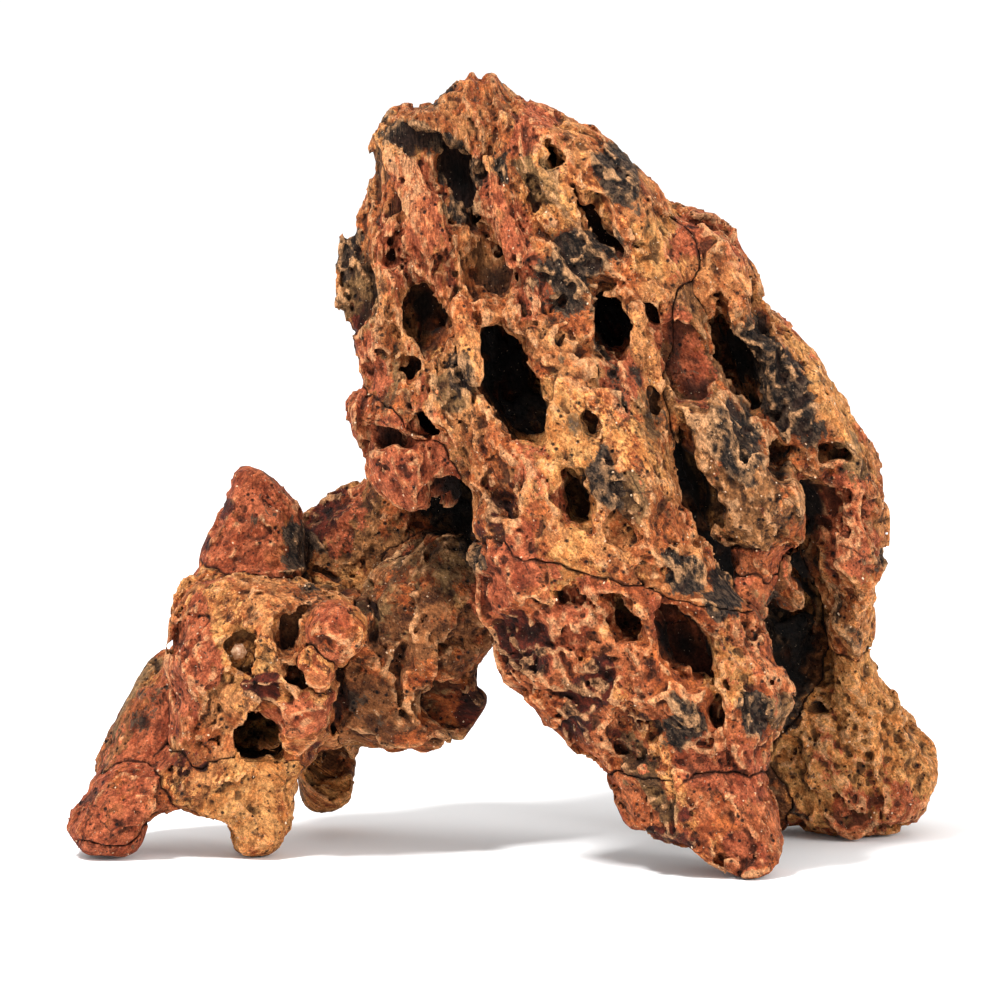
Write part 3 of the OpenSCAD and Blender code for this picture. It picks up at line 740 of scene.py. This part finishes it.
def grain_tree(finish):
    """Strews small broken grains over a stone: inputs are the grain's size and the number to a square metre."""
    tree = bpy.data.node_groups.new("strewn grains", "GeometryNodeTree")
    for label, kind, value in (
        ("Stone", "NodeSocketGeometry", None), ("Grain size", "NodeSocketFloat", 0.42 * MM),
        ("Grains to a square metre", "NodeSocketFloat", 5000.0), ("Seed", "NodeSocketInt", FIRST_SEED),
    ):
        socket = tree.interface.new_socket(label, in_out="INPUT", socket_type=kind)
        if value is not None:
            socket.default_value = value
    tree.interface.new_socket("Grains", in_out="OUTPUT", socket_type="NodeSocketGeometry")
    given = add_node(tree, "NodeGroupInput").outputs
    deep, shut_in = [
        add_node(tree, "GeometryNodeInputNamedAttribute", {"data_type": "FLOAT", "Name": label}).outputs["Attribute"]
        for label in ("hollow", "cave")
    ]
    # a face in a cave counts as deep, and grains lie only where the stone is less than 2.5 mm deep
    settings = {"operation": "MULTIPLY_ADD", 1: 60.0}
    buried = add_node(tree, "ShaderNodeMath", settings, i0=shut_in, i2=deep).outputs[0]
    settings = {"operation": "LESS_THAN", "B": 2.5}
    open_face = add_node(tree, "FunctionNodeCompare", settings, A=buried).outputs["Result"]
    strewn = add_node(tree, "GeometryNodeDistributePointsOnFaces", Mesh=given["Stone"], Selection=open_face,
                      Density=given["Grains to a square metre"], Seed=given["Seed"])
    ball = add_node(tree, "GeometryNodeMeshIcoSphere", {"Subdivisions": 1}, Radius=given["Grain size"])
    any_turn = {"data_type": "FLOAT_VECTOR", "Max": (6.28, 6.28, 6.28), "Seed": 3}
    turn = add_node(tree, "FunctionNodeRandomValue", any_turn).outputs[0]
    flattened = {"data_type": "FLOAT_VECTOR", "Min": (0.5, 0.4, 0.5), "Max": (1.3, 0.8, 1.2), "Seed": 5}
    swell = add_node(tree, "FunctionNodeRandomValue", flattened).outputs[0]
    grains = add_node(tree, "GeometryNodeInstanceOnPoints", Points=strewn.outputs["Points"],
                      Instance=ball.outputs["Mesh"], Rotation=turn, Scale=swell)
    real = add_node(tree, "GeometryNodeRealizeInstances", Geometry=grains.outputs[0]).outputs[0]
    painted = add_node(tree, "GeometryNodeSetMaterial", {"Material": finish}, Geometry=real).outputs[0]
    add_node(tree, "NodeGroupOutput", Grains=painted)
    return tree


strewer = grain_tree(quartz_grain)
for k, (name, stone) in enumerate(casts.items()):
    carrier = bpy.data.objects.new(name + "_carrier", stone.data)
    bpy.context.scene.collection.objects.link(carrier)
    modifier = carrier.modifiers.new("grains", "NODES")
    modifier.node_group = strewer
    for socket in strewer.interface.items_tree:
        if socket.name == "Seed":
            modifier[socket.identifier] = FIRST_SEED + k
    bpy.context.view_layer.update()
    evaluated = carrier.evaluated_get(bpy.context.evaluated_depsgraph_get())
    plain = bpy.data.meshes.new_from_object(evaluated)
    bpy.data.objects.remove(carrier)
    if not plain.vertices:
        continue
    grains = bpy.data.objects.new(name + "_grains", plain)
    bpy.context.scene.collection.objects.link(grains)
    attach(grains, "root")


# ---------------------------------------------------------------- room, lights and camera

def plane(name, size, z):
    mesh = bpy.data.meshes.new(name)
    corners = [(-size, -size, z), (size, -size, z), (size, size, z), (-size, size, z)]
    mesh.from_pydata(corners, [], [(0, 1, 2, 3)])
    o = bpy.data.objects.new(name, mesh)
    bpy.context.scene.collection.objects.link(o)
    return o


floor = plane("floor", 6, -0.0005)
paint = bpy.data.materials.new("matt white studio floor")
paint.use_nodes = True
paint.node_tree.nodes["Principled BSDF"].inputs["Base Color"].default_value = (0.94, 0.94, 0.94, 1)
paint.node_tree.nodes["Principled BSDF"].inputs["Roughness"].default_value = 0.9
floor.data.materials.append(paint)

bpy.context.scene.view_settings.view_transform = "Standard"
world = bpy.data.worlds.new("pale studio")
world.use_nodes = True
world.node_tree.nodes["Background"].inputs["Color"].default_value = (1, 1, 1, 1)
world.node_tree.nodes["Background"].inputs["Strength"].default_value = 1.08
bpy.context.scene.world = world


def softbox(name, place, target, size, power):
    light = bpy.data.lights.new(name, "AREA")
    light.shape = "DISK"
    light.size = size
    light.energy = power
    o = bpy.data.objects.new(name, light)
    o.location = place
    o.rotation_euler = (Vector(target) - Vector(place)).to_track_quat("-Z", "Y").to_euler()
    bpy.context.scene.collection.objects.link(o)


middle = Vector((0, 0, 0.11))
softbox("key", (-0.5, -0.6, 1.25), middle, 0.25, 27)
softbox("fill", (0.9, -0.7, 0.5), middle, 0.5, 7)

lens = bpy.data.cameras.new("camera")
lens.lens = 600
camera = bpy.data.objects.new("camera", lens)
bpy.context.scene.collection.objects.link(camera)
rise = math.radians(8)
AWAY = 5  # m, far enough with the long lens that the ornament is drawn almost without perspective
aim = Vector((0, 0, 0.1060))
camera.location = aim + Vector((0, -math.cos(rise), math.sin(rise))) * AWAY
camera.rotation_euler = (aim - camera.location).to_track_quat("-Z", "Y").to_euler()
bpy.context.scene.camera = camera
